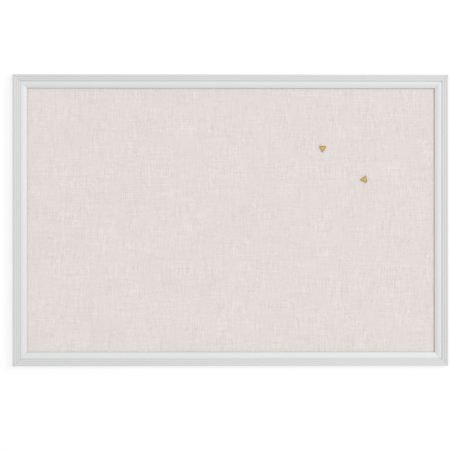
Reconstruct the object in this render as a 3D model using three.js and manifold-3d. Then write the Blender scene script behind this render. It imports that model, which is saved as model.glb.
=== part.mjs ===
// Linen bulletin board: a cork and fibreboard panel faced with linen, held in a mitred and moulded
// frame, with two push pins in it. Millimetres, +Z up. The front faces -Y and the wall stands at
// y = 0, with the origin at the middle of the board.

import * as THREE from "three";
import { mergeVertices } from "three/addons/utils/BufferGeometryUtils.js";
import Module from "manifold-3d";

const wasm = await Module();
wasm.setup();

// Overall sizes
const boardWidth = 762;
const boardHeight = 508;
const frameDepth = 20; // rear face to the crown of the band
const mouldingWidth = 24; // outer edge to sight edge

// Clearances
const contactGap = 0.3; // between pieces that lie on or in each other
const mitreGap = 0.3; // the joint line at each corner
const panelClearance = 1; // from the panel's edge to the rebate's wall
const overrun = 1; // how far a cut runs past the face that it starts from

// Moulding: drops are measured from the crown down
const edgeRound = 0.8;
const edgeLand = 1.1; // flat between the outer edge and the first bead
const edgeDrop = 1.3;
const beadWidth = 3;
const beadRise = 0.8;
const beadGap = 0.6;
const beadStep = 0.15; // each bead stands this much above the one outside it
const beadCount = 3;
const quirkWidth = 0.8; // floor of the deeper groove between the beads and the band
const quirkSlope = 1.3; // width of the groove's slanted side, up to the band
const quirkDrop = 1.6;
const bandDrop = 0.6; // at both edges of the band
const lipWidth = 3.6; // from the band's inner edge to the sight edge
const lipStepWidth = 0.3; // the lip starts with a small step down from the band
const lipStepDrop = 0.6;
const lipFall = 1.3; // how far the lip rounds down from its step to the sight edge
const sightWall = 2; // straight part of the sight edge, down to the rebate
const rebateWidth = 5;

// Panel, from the front to the rear
const linenThickness = 0.6;
const corkThickness = 4;
const fibreThickness = 4;
const backPanelThickness = 2.5;
const hemWidth = 18; // linen turned over on the rear of the panel

// V-nails, two across each mitre
const vNailLeg = 4.5;
const vNailHalfAngle = Math.PI / 3;
const vNailSheet = 0.7;
const vNailHeight = 10;
const vNailSink = 0.3;
const vNailOuterInset = 7; // the V's tip, from the two outer edges
const vNailPitch = 8;
const vNailsPerCorner = 2;

// Framer's points, which hold the back panel in the rebate
const pointWidth = 6;
const pointLength = 15;
const pointTipLength = 3;
const pointSheet = 0.5;
const pointBite = 5; // how deep it is driven into the rebate's wall
const pointsPerRail = 4;
const pointsPerStile = 3;

// Sawtooth hangers and their nails
const hangerLength = 46;
const hangerHeight = 9;
const hangerSheet = 0.8;
const hangerTab = 9;
const hangerRamp = 2.5;
const hangerRaise = 1.1;
const hangerInset = 110; // its middle, from the board's end
const toothDepth = 1.8;
const toothCount = 10;
const toothPeak = 1.4; // how much higher the middle teeth stand than the end ones
const nailRadius = 0.7;
const nailLength = 9;
const nailTip = 1.6;
const nailHeadRadius = 1.7;
const nailHeadHeight = 0.5;

// Rubber bumpers, which set the frame's distance from the wall
const bumperHeight = 3;
const bumperRadius = 5;
const bumperRound = 1.2;
const bumperInset = 30; // its middle, from the board's end

// Push pins
const pinSide = 13.6; // side of the triangular head
const pinHeadHeight = 4.4;
const pinEdgeHeight = 0.9;
const needleRadius = 0.55;
const needleReach = 8; // from the head's underside to the point
const needleTip = 2.2;
const needleSeat = 2.2; // length held in the head
const pinWidthShares = [0.2105, 0.3067]; // place along the board's width, from the middle
const pinHeightShares = [0.2467, 0.1403]; // place up the board's height, from the middle
const pinTurnDegrees = [-177, -97]; // turn about Y of a head that starts with one corner up

// Facets
const roundSides = 12;
const bumperSides = 24;
const arcSteps = 6;
const pinHeadSides = 3;

// Heights above the frame's rear face, stacked from the lip to the rear
const lipHeight = frameDepth - bandDrop - lipStepDrop - lipFall - sightWall;
const linenFront = lipHeight - contactGap;
const corkFront = linenFront - linenThickness - contactGap;
const fibreFront = corkFront - corkThickness - contactGap;
const hemFront = fibreFront - fibreThickness - contactGap;
const linenRear = hemFront - linenThickness;
const backPanelFront = linenRear - contactGap;
const pointFront = backPanelFront - backPanelThickness - contactGap;
const needleEnd = linenFront + contactGap - needleReach;

// Widths and lengths that several pieces share
const rearWidth = mouldingWidth - rebateWidth;
const openingWidth = boardWidth - 2 * rearWidth;
const openingHeight = boardHeight - 2 * rearWidth;
const panelWidth = openingWidth - 2 * panelClearance;
const panelHeight = openingHeight - 2 * panelClearance;
const mitreSetback = mitreGap / Math.SQRT2;

const paint = new THREE.MeshStandardMaterial({ color: 0xe3e5e3, roughness: 0.45, metalness: 0 });
const linen = new THREE.MeshStandardMaterial({ color: 0xe3dbd8, roughness: 0.95, metalness: 0 });
const cork = new THREE.MeshStandardMaterial({ color: 0xb98d5d, roughness: 0.9, metalness: 0 });
const fibre = new THREE.MeshStandardMaterial({ color: 0xa98f6e, roughness: 0.9, metalness: 0 });
const hardboard = new THREE.MeshStandardMaterial({ color: 0x7a5a3c, roughness: 0.7, metalness: 0 });
const steel = new THREE.MeshStandardMaterial({ color: 0xb4b6b8, roughness: 0.4, metalness: 0.9 });
const gold = new THREE.MeshStandardMaterial({ color: 0xd9b25f, roughness: 0.3, metalness: 0.9 });
const rubber = new THREE.MeshStandardMaterial({ color: 0xd8d6d0, roughness: 0.8, metalness: 0 });

// Solids for cutting
function solidOf(geometry) {
  const bare = geometry.clone();
  bare.deleteAttribute("normal");
  bare.deleteAttribute("uv");
  const merged = mergeVertices(bare);
  const vertProperties = new Float32Array(merged.attributes.position.array);
  const triVerts = new Uint32Array(merged.index.array);
  return new wasm.Manifold(new wasm.Mesh({ numProp: 3, vertProperties, triVerts }));
}

function geometryOf(solid) {
  const mesh = solid.getMesh();
  const geometry = new THREE.BufferGeometry();
  geometry.setAttribute("position", new THREE.BufferAttribute(mesh.vertProperties, 3));
  geometry.setIndex(new THREE.BufferAttribute(mesh.triVerts, 1));
  geometry.computeVertexNormals();
  return geometry;
}

function cutAway(geometry, cutters) {
  let solid = solidOf(geometry);
  for (const cutter of cutters) {
    solid = solid.subtract(solidOf(cutter));
  }
  return geometryOf(solid);
}

function piece(name, geometry, material) {
  const mesh = new THREE.Mesh(geometry, material);
  mesh.name = name;
  return mesh;
}

// A box between two corners
function boxBetween(low, high) {
  const size = high.map((value, axis) => value - low[axis]);
  const middle = high.map((value, axis) => (value + low[axis]) / 2);
  return new THREE.BoxGeometry(...size).translate(...middle);
}

// A flat plate: its outline lies in the board's plane and its thickness runs forward from y = 0
function plate(shape, thickness) {
  const options = { depth: thickness, bevelEnabled: false };
  return new THREE.ExtrudeGeometry(shape, options).rotateX(Math.PI / 2);
}

// A round bar along Y, from rearY forward to frontY
function bar(radius, rearY, frontY) {
  const length = rearY - frontY;
  return new THREE.CylinderGeometry(radius, radius, length, roundSides)
    .translate(0, (rearY + frontY) / 2, 0);
}

function outlineOf(points) {
  return new THREE.Shape(points.map(([a, b]) => new THREE.Vector2(a, b)));
}

// Outline of the moulding: x runs inwards from the outer edge, y runs forward from the rear face
function mouldingOutline() {
  const edgeHeight = frameDepth - edgeDrop;
  const shape = new THREE.Shape();
  shape.moveTo(0, 0);
  shape.lineTo(0, edgeHeight - edgeRound);
  shape.quadraticCurveTo(0, edgeHeight, edgeRound, edgeHeight);
  let inward = edgeLand;
  let height = edgeHeight;
  shape.lineTo(inward, height);
  for (let bead = 0; bead < beadCount; bead += 1) {
    const middle = inward + beadWidth / 2;
    shape.absellipse(middle, height, beadWidth / 2, beadRise, Math.PI, 0, true);
    inward += beadWidth;
    if (bead < beadCount - 1) {
      inward += beadGap;
      shape.lineTo(inward, height);
      height += beadStep;
      shape.lineTo(inward, height);
    }
  }
  const quirkHeight = frameDepth - quirkDrop;
  shape.lineTo(inward, quirkHeight);
  inward += quirkWidth;
  shape.lineTo(inward, quirkHeight);
  inward += quirkSlope;
  const bandEdge = frameDepth - bandDrop;
  shape.lineTo(inward, bandEdge);
  // The control point lies as far above the crown as the band's edges lie below it
  const bandEnd = mouldingWidth - lipWidth;
  shape.quadraticCurveTo((inward + bandEnd) / 2, frameDepth + bandDrop, bandEnd, bandEdge);
  const lipTop = bandEdge - lipStepDrop;
  shape.lineTo(bandEnd + lipStepWidth, lipTop);
  shape.quadraticCurveTo(mouldingWidth - lipFall, lipTop, mouldingWidth, lipTop - lipFall);
  shape.lineTo(mouldingWidth, lipHeight);
  shape.lineTo(rearWidth, lipHeight);
  shape.lineTo(rearWidth, 0);
  return shape;
}

// One side of the frame along X, with its outer edge at z = 0, its rear face at y = 0 and both
// ends mitred at 45 degrees
function mitredSide(length) {
  const options = { depth: 1, bevelEnabled: false, curveSegments: arcSteps };
  const geometry = new THREE.ExtrudeGeometry(mouldingOutline(), options);
  const spots = geometry.attributes.position;
  for (let i = 0; i < spots.count; i += 1) {
    const inward = spots.getX(i);
    const height = spots.getY(i);
    const towards = spots.getZ(i) > 0 ? -1 : 1;
    spots.setXYZ(i, towards * (length / 2 - inward - mitreSetback), -height, -inward);
  }
  return geometry;
}

// The V-nail's outline, with its tip at the origin and its legs opening towards +X; a positive
// margin gives the outline of the slot round it
function vNailOutline(margin) {
  const half = vNailSheet / 2 + margin;
  const reach = vNailLeg + margin;
  const along = Math.cos(vNailHalfAngle);
  const across = Math.sin(vNailHalfAngle);
  const tip = half / across;
  const leg = (side) => [
    [reach * along - half * across, side * (reach * across + half * along)],
    [reach * along + half * across, side * (reach * across - half * along)],
  ];
  const [outerLeft, innerLeft] = leg(1);
  const [outerRight, innerRight] = leg(-1);
  return outlineOf([[-tip, 0], outerRight, innerRight, [tip, 0], innerLeft, outerLeft]);
}

// How far each V-nail's tip lies from the two outer edges of its corner
const vNailInsets = Array.from({ length: vNailsPerCorner }, (_, i) => vNailOuterInset + i * vNailPitch);

function vNailSlots(length) {
  const depth = overrun + vNailSink + vNailHeight + contactGap;
  const slots = [];
  for (const side of [-1, 1]) {
    for (const inset of vNailInsets) {
      const turn = (side > 0 ? -1 : -3) * (Math.PI / 4);
      const slot = plate(vNailOutline(contactGap), depth).rotateY(turn);
      slots.push(slot.translate(side * (length / 2 - inset), overrun, -inset));
    }
  }
  return slots;
}

// Places of the framer's points along a side, evenly spaced over the opening
function pointPlaces(opening, count) {
  return Array.from({ length: count }, (_, i) => ((i + 0.5) / count - 0.5) * opening);
}

// A framer's point: a flat tongue whose tip is driven into the rebate's wall, towards +Z, with its
// front face at y = 0
function framersPoint() {
  const half = pointWidth / 2;
  const shoulder = pointBite - pointTipLength;
  const tail = pointBite - pointLength;
  return plate(
    outlineOf([[-half, tail], [half, tail], [half, shoulder], [0, pointBite], [-half, shoulder]]),
    pointSheet,
  ).translate(0, pointSheet, 0);
}

function pointSlot(place) {
  const half = pointWidth / 2 + contactGap;
  return boxBetween(
    [place - half, -pointFront - contactGap, -rearWidth - overrun],
    [place + half, -pointFront + pointSheet + contactGap, -rearWidth + pointBite + contactGap],
  );
}

// Places of the hangers and of their nails along the top rail
const hangerPlaces = [-1, 1].map((side) => side * (boardWidth / 2 - hangerInset));
const hangerNailOffset = (hangerLength - hangerHeight) / 2; // at the middle of each round end
const nailPlaces = hangerPlaces.flatMap((x) => [x - hangerNailOffset, x + hangerNailOffset]);
const nailSeat = 2 * contactGap + hangerSheet; // underside of the head, behind the frame

function nailHole(place) {
  const depth = nailLength - nailSeat + contactGap;
  return bar(nailRadius + contactGap, overrun, -depth).translate(place, 0, -rearWidth / 2);
}

// The hanger from behind: rounded tabs, and along the lower edge teeth that climb towards the
// middle, so that the wall's nail finds it
function hangerOutline(halfLength, halfRaised) {
  const round = hangerHeight / 2;
  const shape = new THREE.Shape();
  shape.absarc(halfLength - round, 0, round, Math.PI / 2, -Math.PI / 2, true);
  const pitch = (2 * halfRaised) / toothCount;
  for (let tooth = 0; tooth < toothCount; tooth += 1) {
    const start = halfRaised - tooth * pitch;
    const centred = 1 - Math.abs(2 * tooth + 1 - toothCount) / toothCount;
    const climb = toothPeak * centred - round;
    shape.lineTo(start, climb);
    shape.lineTo(start - pitch / 2, climb + toothDepth);
    shape.lineTo(start - pitch, climb);
  }
  shape.absarc(round - halfLength, 0, round, -Math.PI / 2, Math.PI / 2, true);
  return shape;
}

// A sawtooth hanger: a strip bent off the wood between two nailed tabs
function sawtoothHanger() {
  const half = hangerLength / 2;
  const bend = half - hangerTab;
  const raised = bend - hangerRamp;
  const under = [[-half, 0], [-bend, 0], [-raised, hangerRaise], [raised, hangerRaise], [bend, 0], [half, 0]];
  const over = under.map(([x, y]) => [x, y + hangerSheet]).reverse();
  const options = { depth: hangerHeight, bevelEnabled: false };
  const strip = new THREE.ExtrudeGeometry(outlineOf([...under, ...over]), options)
    .translate(0, 0, -hangerHeight / 2);
  const through = hangerRaise + hangerSheet + 2 * overrun;
  const blank = plate(hangerOutline(half, raised), through).translate(0, through - overrun, 0);
  const holes = [-1, 1].map((side) => (
    bar(nailRadius + contactGap, hangerSheet + overrun, -overrun).translate(side * hangerNailOffset, 0, 0)
  ));
  return cutAway(geometryOf(solidOf(strip).intersect(solidOf(blank))), holes);
}

// A turned piece round Y, from a profile of [radius, y] points that ends on the axis
function turned(points, sides) {
  return new THREE.LatheGeometry(points.map(([r, y]) => new THREE.Vector2(r, y)), sides);
}

function hangerNail() {
  const crown = nailHeadRadius / 2;
  return turned([
    [0, -nailLength],
    [nailRadius, nailTip - nailLength],
    [nailRadius, 0],
    [nailHeadRadius, 0],
    [nailHeadRadius, nailHeadHeight / 2],
    [crown, nailHeadHeight],
    [0, nailHeadHeight],
  ], roundSides);
}

function bumper() {
  const profile = [[0, contactGap], [bumperRadius, contactGap]];
  for (let step = 0; step <= arcSteps; step += 1) {
    const angle = (step / arcSteps) * (Math.PI / 2);
    const radius = bumperRadius - bumperRound + bumperRound * Math.cos(angle);
    profile.push([radius, bumperHeight - bumperRound + bumperRound * Math.sin(angle)]);
  }
  return turned([...profile, [0, bumperHeight]], bumperSides);
}

// The frame: each side is a group of its own, with what is fixed to it
const frame = new THREE.Group();
frame.position.y = -bumperHeight;

function frameSide(name, length, opening, pointCount, extraCuts) {
  const places = pointPlaces(opening, pointCount);
  const cuts = [...vNailSlots(length), ...places.map(pointSlot), ...extraCuts];
  const side = new THREE.Group();
  side.add(piece(name, cutAway(mitredSide(length), cuts), paint));
  places.forEach((place, i) => {
    const point = piece(`${name}_point_${i + 1}`, framersPoint(), steel);
    point.position.set(place, -pointFront, -rearWidth);
    side.add(point);
  });
  frame.add(side);
  return side;
}

const topRail = frameSide("rail_top", boardWidth, openingWidth, pointsPerRail, nailPlaces.map(nailHole));
topRail.position.z = boardHeight / 2;

const bottomRail = frameSide("rail_bottom", boardWidth, openingWidth, pointsPerRail, []);
bottomRail.position.z = -boardHeight / 2;
bottomRail.rotation.y = Math.PI;

const leftStile = frameSide("stile_left", boardHeight, openingHeight, pointsPerStile, []);
leftStile.position.x = -boardWidth / 2;
leftStile.rotation.y = -Math.PI / 2;

const rightStile = frameSide("stile_right", boardHeight, openingHeight, pointsPerStile, []);
rightStile.position.x = boardWidth / 2;
rightStile.rotation.y = Math.PI / 2;

// Hangers on the top rail
hangerPlaces.forEach((place, i) => {
  const hanger = piece(`hanger_${i + 1}`, sawtoothHanger(), steel);
  hanger.position.set(place, contactGap, -rearWidth / 2);
  topRail.add(hanger);
});
nailPlaces.forEach((place, i) => {
  const nail = piece(`hanger_nail_${i + 1}`, hangerNail(), steel);
  nail.position.set(place, nailSeat, -rearWidth / 2);
  topRail.add(nail);
});

// Bumpers on the bottom rail
for (const [name, side] of [["bumper_left", 1], ["bumper_right", -1]]) {
  const foot = piece(name, bumper(), rubber);
  foot.position.set(side * (boardWidth / 2 - bumperInset), 0, -rearWidth / 2);
  bottomRail.add(foot);
}

// V-nails across the mitres; the turn points the V's opening at its corner
const corners = [
  { name: "top_right", x: 1, z: 1, turn: -Math.PI / 4 },
  { name: "top_left", x: -1, z: 1, turn: (-3 * Math.PI) / 4 },
  { name: "bottom_left", x: -1, z: -1, turn: (3 * Math.PI) / 4 },
  { name: "bottom_right", x: 1, z: -1, turn: Math.PI / 4 },
];
for (const corner of corners) {
  vNailInsets.forEach((inset, i) => {
    const geometry = plate(vNailOutline(0), vNailHeight);
    const nail = piece(`v_nail_${corner.name}_${i + 1}`, geometry, steel);
    const x = corner.x * (boardWidth / 2 - inset);
    const z = corner.z * (boardHeight / 2 - inset);
    nail.position.set(x, -vNailSink, z);
    nail.rotation.y = corner.turn;
    frame.add(nail);
  });
}

// The panel in the rebate
const panel = new THREE.Group();
panel.position.y = -bumperHeight;

function slab(width, height, rear, front) {
  return boxBetween([-width / 2, -front, -height / 2], [width / 2, -rear, height / 2]);
}

const pins = pinWidthShares.map((widthShare, i) => ({
  name: `pin_${i + 1}`,
  x: widthShare * boardWidth,
  z: pinHeightShares[i] * boardHeight,
  turn: THREE.MathUtils.degToRad(pinTurnDegrees[i]),
}));

// Holes that the needles make, from in front of the linen to just past their points
function needleHoles() {
  const radius = needleRadius + contactGap;
  const frontY = -linenFront - overrun;
  return pins.map((pin) => bar(radius, contactGap - needleEnd, frontY).translate(pin.x, 0, pin.z));
}

function linenCover() {
  const hollowWidth = panelWidth - 2 * linenThickness;
  const hollowHeight = panelHeight - 2 * linenThickness;
  const windowWidth = panelWidth - 2 * hemWidth;
  const windowHeight = panelHeight - 2 * hemWidth;
  return cutAway(slab(panelWidth, panelHeight, linenRear, linenFront), [
    slab(hollowWidth, hollowHeight, hemFront, linenFront - linenThickness),
    slab(windowWidth, windowHeight, linenRear - overrun, hemFront + overrun),
    ...needleHoles(),
  ]);
}

const coreWidth = panelWidth - 2 * (linenThickness + contactGap);
const coreHeight = panelHeight - 2 * (linenThickness + contactGap);
const corkSlab = slab(coreWidth, coreHeight, corkFront - corkThickness, corkFront);
const fibreSlab = slab(coreWidth, coreHeight, fibreFront - fibreThickness, fibreFront);
const backSlab = slab(panelWidth, panelHeight, backPanelFront - backPanelThickness, backPanelFront);
panel.add(piece("linen_cover", linenCover(), linen));
panel.add(piece("cork_sheet", cutAway(corkSlab, needleHoles()), cork));
panel.add(piece("fibreboard_core", cutAway(fibreSlab, needleHoles()), fibre));
panel.add(piece("back_panel", backSlab, hardboard));

// Push pins: the needle runs along +Y into the panel, and the head is a low three-sided pyramid
function pinHead() {
  const corner = pinSide / Math.sqrt(3);
  const head = turned([
    [0, -pinHeadHeight],
    [corner, -pinEdgeHeight],
    [corner, 0],
    [0, 0],
  ], pinHeadSides);
  const socket = bar(needleRadius + contactGap, overrun, -needleSeat - contactGap);
  return cutAway(head, [socket]);
}

function pinNeedle() {
  return turned([
    [0, -needleSeat],
    [needleRadius, -needleSeat],
    [needleRadius, needleReach - needleTip],
    [0, needleReach],
  ], roundSides);
}

const pinGroup = new THREE.Group();
pinGroup.position.y = -bumperHeight - linenFront - contactGap;
for (const pin of pins) {
  const both = new THREE.Group();
  both.position.set(pin.x, 0, pin.z);
  both.rotation.y = pin.turn;
  both.add(piece(`${pin.name}_head`, pinHead(), gold));
  both.add(piece(`${pin.name}_needle`, pinNeedle(), steel));
  pinGroup.add(both);
}

const board = new THREE.Group();
board.add(frame, panel, pinGroup);

export default board;
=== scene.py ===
# Linen bulletin board: the finishes and fine shapes of a pin board that hangs on a wall.
# Metres, +Z up. The front faces -Y and the wall stands at y = 0.
import math

import bmesh
import bpy
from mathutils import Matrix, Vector


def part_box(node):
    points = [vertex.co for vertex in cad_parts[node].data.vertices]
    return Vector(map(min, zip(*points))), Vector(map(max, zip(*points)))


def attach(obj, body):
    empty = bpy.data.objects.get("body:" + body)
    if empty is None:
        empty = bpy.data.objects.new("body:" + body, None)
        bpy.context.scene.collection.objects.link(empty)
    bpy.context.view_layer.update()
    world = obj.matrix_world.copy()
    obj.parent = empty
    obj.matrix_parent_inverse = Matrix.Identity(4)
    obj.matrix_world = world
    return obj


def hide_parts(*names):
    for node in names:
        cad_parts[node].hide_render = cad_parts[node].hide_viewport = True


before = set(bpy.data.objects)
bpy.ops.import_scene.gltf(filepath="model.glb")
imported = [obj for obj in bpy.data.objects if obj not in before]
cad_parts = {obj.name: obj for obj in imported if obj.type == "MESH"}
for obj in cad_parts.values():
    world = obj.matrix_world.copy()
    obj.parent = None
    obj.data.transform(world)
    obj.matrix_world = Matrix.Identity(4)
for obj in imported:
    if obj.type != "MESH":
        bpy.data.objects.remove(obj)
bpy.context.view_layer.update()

# Places that the frame gives
RAIL_LOW, RAIL_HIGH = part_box("rail_top")
LINEN_LOW, LINEN_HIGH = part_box("linen_cover")
POINT_LOW, POINT_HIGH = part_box("rail_top_point_1")
BOARD_WIDTH = 2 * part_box("stile_right")[1].x
BOARD_HEIGHT = 2 * RAIL_HIGH.z
REAR_Y = RAIL_HIGH.y
CROWN_Y = RAIL_LOW.y
MOULDING_WIDTH = RAIL_HIGH.z - RAIL_LOW.z
MOULDING_DEPTH = REAR_Y - CROWN_Y

# Turns
FULL_TURN = 2 * math.pi
HALF_TURN = math.pi
QUARTER_TURN = math.pi / 2
EIGHTH_TURN = math.pi / 4

# Clearances, and how far a cutter runs past the face that it starts from
CONTACT_GAP = 0.0003
MITRE_GAP = 0.0001
OVERRUN = 0.001

# Corners within a reach are one, and so many digits sort their places
MERGE_REACH = 1e-6
CLOSING_REACH = 1e-7
PLACE_DIGITS = 6

# How near counts as on a line, a turned face's least cosine, and a pen's first plane
NEAR = 0.0001
FACING = 0.99
PEN_SIZE = 0.001

# Moulding. The edge, the quirk and the band drop from its crown, the lip's step from the band
EDGE_ROUND = 0.0008
EDGE_LAND = 0.0011
EDGE_DROP = 0.0013
BEAD_WIDTH = 0.003
BEAD_RISE = 0.0008
BEAD_GAP = 0.0006
BEAD_STEP = 0.00015
BEAD_COUNT = 3
BEAD_HOLLOW = 0.00012
QUIRK_WIDTH = 0.0008
QUIRK_SLOPE = 0.0013
QUIRK_DROP = 0.0016
QUIRK_HOLLOW = 0.0001
BAND_DROP = 0.0006
LIP_WIDTH = 0.0036
LIP_STEP_WIDTH = 0.0003
LIP_STEP_DROP = 0.0006
LIP_FALL = 0.0013
LIP_BULGE = 0.00034
SIGHT_WALL = 0.002
REBATE_WIDTH = 0.005
CORNER_EASE = 0.00025
MITRE_EASE = 0.0002
REEDED_WIDTH = EDGE_LAND + BEAD_COUNT * BEAD_WIDTH + (BEAD_COUNT - 1) * BEAD_GAP
REAR_WIDTH = MOULDING_WIDTH - REBATE_WIDTH
OPENING_WIDTH = BOARD_WIDTH - 2 * REAR_WIDTH
OPENING_HEIGHT = BOARD_HEIGHT - 2 * REAR_WIDTH

# V-nails across the mitres
V_NAIL_LEG = 0.0045
V_NAIL_HALF_ANGLE = math.pi / 3
V_NAIL_SHEET = 0.0007
V_NAIL_HEIGHT = 0.010
V_NAIL_SINK = 0.0003
V_NAIL_INSETS = (0.007, 0.015)

# Framer's points
POINT_WIDTH = 0.006
POINT_LENGTH = 0.015
POINT_TIP = 0.003
POINT_SHEET = 0.0005
POINT_BITE = 0.005
POINT_EASE = 0.001

# Hangers, their nails and the bumpers
HANGER_LENGTH = 0.046
HANGER_HEIGHT = 0.009
HANGER_SHEET = 0.0008
HANGER_TAB = 0.009
HANGER_RAMP = 0.0025
HANGER_RAISE = 0.0011
TOOTH_COUNT = 10
TOOTH_DEPTH = 0.0018
TOOTH_PEAK = 0.0014
SHEET_EASE = 0.00012
HANGER_NAILS = [f"hanger_nail_{i}" for i in (1, 2, 3, 4)]
NAIL_RADIUS = 0.0007
NAIL_TIP = 0.0016
NAIL_HEAD_RADIUS = 0.0017
NAIL_HEAD_HEIGHT = 0.0005
NAIL_HEAD_RIM = 0.0001
NAIL_HEAD_DOME = 0.00012
BUMPER_ROUND = 0.0012
BUMPER_FOOT_EASE = 0.0002

# Linen: a plain weave with thicker threads here and there
LINEN_SHEET = 0.0006
LINEN_BEND = 0.001
LINEN_HEM = 0.018
LINEN_CELL = 0.0024
FOLD_ANGLES = (0, 30, 60, 90)
SLUB_WIDTH = 0.0035
SLUB_LENGTH = 0.030
SLUB_RISE = 0.00022
THREAD_PITCH = 0.0009
WARP_SWELL = 0.034
WEFT_SWELL = 0.05
THREAD_STRIDE = 7.31
THREAD_GRAIN = 0.6
THREAD_THICKNESS = (0.72, 1.15)
THREAD_DIP = 0.5
WARP_TONES = (0.04, 0.96)
WEFT_TONES = (0.2, 0.8)
WEFT_OFFSET = 413.7
WANDER_SIZE = 0.007
WANDER_REACH = 0.0005
NUB_WIDTH = 0.0028
NUB_LENGTH = 0.0036
NUB_SHARE = 0.22
UNEVEN_CLOUD = 0.025
UNEVEN_TONES = (0.3, 0.7)
UNEVEN_SPREAD = (0.5, 1.5)
MIDDLE_TONE = 0.5
LINEN_TONES = (0.2, 0.8)
DYE_CLOUD = 0.07
DYE_TONES = (0.35, 0.65)
DYE_SHARE = 0.1
FIBRE_WIDTH = 0.00012
FIBRE_LENGTH = 0.0009
FIBRE_SHARE = 0.25
# Painted shade in the weave's low places: between the threads and at their sides
GAP_SHADE_HEIGHTS = (1.1, 0.2)
GAP_SHADE_SHARE = 0.5
FLECK_WIDTH = 0.006
FLECK_LENGTH = 0.009
FLECK_TONES = (0.62, 0.72)
FLECK_SHARE = 0.5
LINEN_ROUGHNESS = (0.85, 1)
LINEN_SPECULAR = 0.2
LINEN_SHEEN = 0.08
LINEN_SHEEN_ROUGHNESS = 0.5

# Push pins. A peak share is the breadth that is left and the height that is climbed
PIN_SIDE = 0.0136
PIN_HEAD_HEIGHT = 0.0044
PIN_EDGE_HEIGHT = 0.0009
# Up to this height the pin's rim has painted shade
PIN_RIM_SHADE_HEIGHT = 0.0034
PIN_CORNER_RADIUS = 0.0009
PIN_EASE = 0.0003
PIN_CORNERS = 3
PIN_PEAK_SHARES = ((0.12, 0.88), (0.07, 0.92), (0.025, 0.94))
NEEDLE_RADIUS = 0.00055
NEEDLE_TIP = 0.0022
PIN_TURNS = {"pin_1": math.radians(-177), "pin_2": math.radians(-97)}

# Paint. Its painted shade on the front fades in between two depths
BRUSH_WIDTH = 0.0012
BRUSH_LENGTH = 0.06
PAINT_CLOUD = 0.09
PAINT_PEEL = 0.0015
# Painted shade: in the hollows, and fading in on the sight edge, reeds, quirk and lip
PAINT_HOLLOW_SHADE_CURVE = (0.5, 0.44)
PAINT_HOLLOW_SHADE_SHARE = 0.35
SIGHT_FADE = 0.0003
REEDED_FADE = 0.0005
QUIRK_FADE = 0.0004
LIP_FADE = 0.0003
FRONT_SHADE_Y = (-0.006, -0.010)
PAINT_ROUGHNESS = (0.38, 0.56)
PAINT_IOR = 1.48
PAINT_SPECULAR = 0.35

# Grain of the other stuffs
METAL_CLOUD = 0.006
GOLD_GRAIN = (0.004, 0.0003, 0.0003)
GOLD_ROUGHNESS = (0.26, 0.44)
STEEL_GRAIN = (0.003, 0.0005, 0.0005)
RUBBER_BLOOM = 0.002
RUBBER_ROUGHNESS = (0.55, 0.75)
HARDBOARD_FIBRE = 0.003
HARDBOARD_CHIP = 0.0012
HARDBOARD_TONES = (0.35, 0.75)
HARDBOARD_PATCH = 0.05
PATCH_TONES = (0.35, 0.65)
PATCH_SHARE = 0.6
HARDBOARD_ROUGHNESS = (0.6, 0.85)
HARDBOARD_SPECULAR = 0.3
SCREEN_PITCH = 0.0022
# Painted shade in the screen's pits
SCREEN_PIT_SHADE = (0.2, -0.8)
SCREEN_PIT_SHADE_SHARE = 0.3
CORK_GRANULE = 0.003
CORK_CRUMB = CORK_GRANULE / 4
CORK_CRUMB_SHARE = 0.3
CORK_ROUGHNESS = (0.8, 1)
FELT_FIBRE = 0.002
FELT_FLAKE = FELT_FIBRE / 4
FELT_ROUGHNESS = (0.8, 1)

# Reliefs of the finishes: a height and its strength
BRUSH_RELIEF = (0.00004, 0.5)
PEEL_RELIEF = (0.00002, 0.5)
WEAVE_RELIEF = (0.0003, 0.5)
FIBRE_RELIEF = (0.00004, 0.4)
METAL_RELIEF = (0.00002, 0.4)
RUBBER_RELIEF = (0.00002, 0.3)
SCREEN_RELIEF = (0.0003, 0.6)
HARDBOARD_RELIEF = (0.0003, 0.4)
CORK_RELIEF = (0.0003, 0.6)
FELT_RELIEF = (0.0003, 0.5)

# Facets, and the angles in degrees that are shaded smooth or eased
ARC_STEPS = 10
BEAD_HOLLOW_STEPS = 3
QUIRK_STEPS = 6
BAND_STEPS = 12
PIN_CORNER_STEPS = 8
TURNED_STEPS = 32
TURNED_ARC_STEPS = 6
HOLE_SIDES = 20
EASE_SEGMENTS = 2
CORNER_SEGMENTS = 3
PIN_EASE_SEGMENTS = 4
SMOOTH_ANGLE = 32
PIN_SMOOTH_ANGLE = 28
LINEN_SMOOTH_ANGLE = 60
EASE_ANGLE = 35

# Stage
STAGE_SIZE = 40
WALL_GAP = 0.0002
FLOOR_Z = -1.2
BACKDROP_COLOUR = (0.1, 0.1, 0.1, 1)
WALL_GLOW = 0.82
FLOOR_GLOW = 0.925
ROOM_COLOUR = (1, 1, 1, 1)
ROOM_LIGHT = 0.79
CAMERA_TURN = 6
CAMERA_DISTANCE = 24
CAMERA_AIM = Vector((-0.0111, CROWN_Y, -0.0084))
CAMERA_REACH = (1, 100)
SENSOR_WIDTH = 36
PICTURE_WIDTH = 0.7838

# Lamps: place, size and power
KEY_LAMP = ((6.5, -7.6, 4.1), (3.2, 3.2), 342)
WALL_LAMP = ((1.0, -4.0, 0.5), (2.2, 0.6), 180)
REAR_LAMP = ((1.0, 4.0, 2.0), (1.8, 1.8), 40)


# Selecting and editing

def put_down():
    """Leaves edit mode and deselects everything, so that no operator finds another piece."""
    if bpy.context.object and bpy.context.object.mode != "OBJECT":
        bpy.ops.object.mode_set(mode="OBJECT")
    bpy.ops.object.select_all(action="DESELECT")


def pick_up(piece):
    put_down()
    piece.select_set(True)
    bpy.context.view_layer.objects.active = piece


def take_all():
    bpy.ops.mesh.select_all(action="SELECT")


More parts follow.
